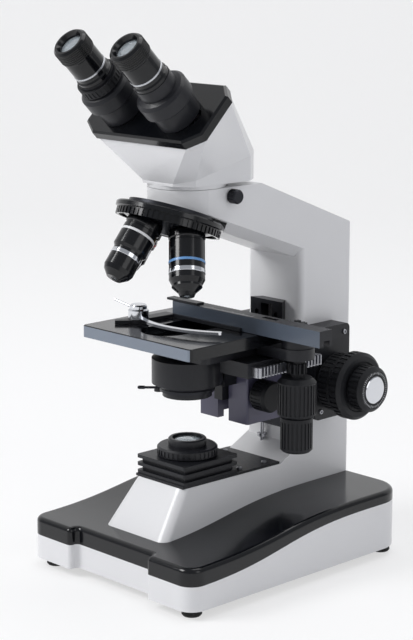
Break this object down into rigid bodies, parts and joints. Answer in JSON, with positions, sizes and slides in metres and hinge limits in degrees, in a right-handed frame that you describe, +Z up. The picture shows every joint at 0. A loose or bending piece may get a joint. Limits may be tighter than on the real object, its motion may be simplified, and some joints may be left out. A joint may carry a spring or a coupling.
{
  "type": "research microscope",
  "caption": "Compound microscope: inclined binocular head, turret with objectives, mechanical stage, condenser and built-in lamp on a wide base.",
  "frame": {"origin": "on the table under the middle of the instrument", "axes": "+X the user's right, +Y away from the user, +Z up"},
  "size_m": [0.199, 0.2295, 0.3841],
  "materials": {
    "white_paint": "satin",
    "grey_paint": "satin",
    "black_paint": "satin",
    "black_gloss": "gloss",
    "black_plastic": "matte",
    "dark_steel": "satin",
    "brushed": "satin",
    "chrome": "polished",
    "rubber": "matte",
    "glass": "clear"
  },
  "bodies": {
    "stand": {"base_shell": "white_paint", "base_top_plate": "black_gloss", "bottom_cover": "black_paint", "bottom_screws": "chrome", "feet": "rubber", "lamp_house": "white_paint", "lamp_deck": "black_paint", "heat_fins": "black_paint", "collector_housing": "black_paint", "collector_lens": "glass", "lamp_bulb": "brushed", "transformer": "dark_steel", "power_inlet": "black_plastic", "arm": "white_paint", "focus_housings": "black_paint", "guide_way": "dark_steel", "stop_rod": "brushed", "nosepiece_mount": "dark_steel"},
    "rocker": {"rocker_switch": "black_plastic"},
    "dimmer": {"dimmer_wheel": "black_plastic"},
    "clamp_screw": {"head_clamp_screw": "dark_steel"},
    "tension": {"tension_ring": "black_plastic"},
    "coarse": {"coarse_shaft": "brushed", "coarse_knobs": "black_plastic"},
    "fine": {"fine_shaft": "chrome", "fine_knobs": "black_plastic"},
    "lift": {"carriage": "dark_steel", "focus_rack": "brushed", "stage_bracket": "grey_paint", "stage_lower_plate": "black_paint", "y_rack": "brushed"},
    "top_stage": {"stage_top_plate": "black_gloss", "coax_housing": "black_paint"},
    "y_drive": {"y_knob": "black_plastic"},
    "x_drive": {"x_knob": "black_plastic"},
    "cross_slide": {"x_bar": "black_paint", "slide_holder": "black_paint"},
    "clip": {"clip_finger": "chrome"},
    "condenser": {"condenser_carrier": "black_paint", "condenser_body": "black_paint", "condenser_lens": "glass"},
    "condenser_drive": {"condenser_knob": "black_plastic"},
    "iris": {"iris_lever": "dark_steel"},
    "filter": {"filter_holder": "black_paint"},
    "nosepiece": {"turret": "black_gloss", "objective_4x": "black_gloss", "objective_10x": "black_gloss", "objective_40x": "black_gloss", "objective_100x": "black_gloss", "objective_lenses": "glass"},
    "head": {"head_housing": "white_paint", "head_plate": "black_gloss", "prism": "glass"},
    "eye_right": {"tube_right": "black_paint", "eyepiece_right": "black_gloss", "eye_lens_right": "glass"},
    "eye_left": {"tube_left": "black_paint", "eyepiece_left": "black_gloss", "eye_lens_left": "glass"},
    "diopter": {"diopter_ring": "black_plastic"}
  },
  "joints": [
    {"name": "rocker_tip", "type": "hinge", "parent": "stand", "child": "rocker", "pos_m": [-0.0923, 0.03, 0.022], "axis": [0, 0, 1], "range_deg": [0, 12]},
    {"name": "dimmer_turn", "type": "hinge", "parent": "stand", "child": "dimmer", "pos_m": [-0.0885, -0.04, 0.017], "axis": [0, 0, 1], "range_deg": [0, 270]},
    {"name": "clamp_turn", "type": "hinge", "parent": "stand", "child": "clamp_screw", "pos_m": [0.0175, -0.011, 0.27], "axis": [1, 0, 0], "range_deg": [-360, 360]},
    {"name": "tension_turn", "type": "hinge", "parent": "stand", "child": "tension", "pos_m": [0.0375, 0.078, 0.1276], "axis": [1, 0, 0], "range_deg": [0, 60]},
    {"name": "stage_lift", "type": "slide", "parent": "stand", "child": "lift", "axis": [0, 0, 1], "range_m": [-0.01, 0.005]},
    {"name": "coarse_turn", "type": "hinge", "parent": "stand", "child": "coarse", "pos_m": [-0.0125, 0.078, 0.1276], "axis": [1, 0, 0], "range_deg": [-100, 100]},
    {"name": "fine_turn", "type": "hinge", "parent": "coarse", "child": "fine", "pos_m": [-0.0125, 0.078, 0.1276], "axis": [1, 0, 0], "continuous": true},
    {"name": "stage_y", "type": "slide", "parent": "lift", "child": "top_stage", "axis": [0, -1, 0], "range_m": [-0.018, 0.018]},
    {"name": "y_knob_turn", "type": "hinge", "parent": "top_stage", "child": "y_drive", "pos_m": [0.0595, 0.009, 0.15], "axis": [0, 0, 1], "range_deg": [-180, 180]},
    {"name": "stage_x", "type": "slide", "parent": "top_stage", "child": "cross_slide", "axis": [1, 0, 0], "range_m": [-0.03, 0.03]},
    {"name": "x_knob_turn", "type": "hinge", "parent": "top_stage", "child": "x_drive", "pos_m": [0.0595, 0.009, 0.15], "axis": [0, 0, 1], "range_deg": [-300, 300]},
    {"name": "clip_open", "type": "hinge", "parent": "cross_slide", "child": "clip", "pos_m": [-0.0465, -0.042, 0.183], "axis": [0, 0, -1], "range_deg": [0, 25], "stiffness_Nm_per_rad": 0.02},
    {"name": "condenser_lift", "type": "slide", "parent": "lift", "child": "condenser", "axis": [0, 0, 1], "range_m": [-0.018, 0]},
    {"name": "condenser_knob_turn", "type": "hinge", "parent": "lift", "child": "condenser_drive", "pos_m": [-0.0125, 0.018, 0.125], "axis": [1, 0, 0], "range_deg": [-10, 215]},
    {"name": "iris_turn", "type": "hinge", "parent": "condenser", "child": "iris", "pos_m": [-0.0125, -0.027, 0.133], "axis": [0, 0, 1], "range_deg": [-35, 35]},
    {"name": "filter_swing", "type": "hinge", "parent": "condenser", "child": "filter", "pos_m": [-0.0325, -0.036, 0.13], "axis": [0, 0, 1], "range_deg": [0, 80]},
    {"name": "nosepiece_turn", "type": "hinge", "parent": "stand", "child": "nosepiece", "pos_m": [-0.0125, -0.027, 0.3], "axis": [0, -0.342, -0.9397], "continuous": true},
    {"name": "head_turn", "type": "hinge", "parent": "stand", "child": "head", "pos_m": [-0.0125, -0.027, 0], "axis": [0, 0, 1], "continuous": true},
    {"name": "eye_right_slide", "type": "slide", "parent": "head", "child": "eye_right", "axis": [1, 0, 0], "range_m": [0, 0.009]},
    {"name": "eye_left_slide", "type": "slide", "parent": "head", "child": "eye_left", "axis": [-1, 0, 0], "range_m": [0, 0.009]},
    {"name": "diopter_turn", "type": "hinge", "parent": "eye_left", "child": "diopter", "pos_m": [-0.0405, -0.05931, 0.32831], "axis": [0, -0.7071, 0.7071], "range_deg": [-120, 120]}
  ],
  "couplings": [
    {"joint": "coarse_turn", "follows": "stage_lift", "rad_per_m": -166.67},
    {"joint": "y_knob_turn", "follows": "stage_y", "rad_per_m": -166.67},
    {"joint": "x_knob_turn", "follows": "stage_x", "rad_per_m": 166.67},
    {"joint": "condenser_knob_turn", "follows": "condenser_lift", "rad_per_m": -200},
    {"joint": "eye_left_slide", "follows": "eye_right_slide", "ratio": 1}
  ]
}
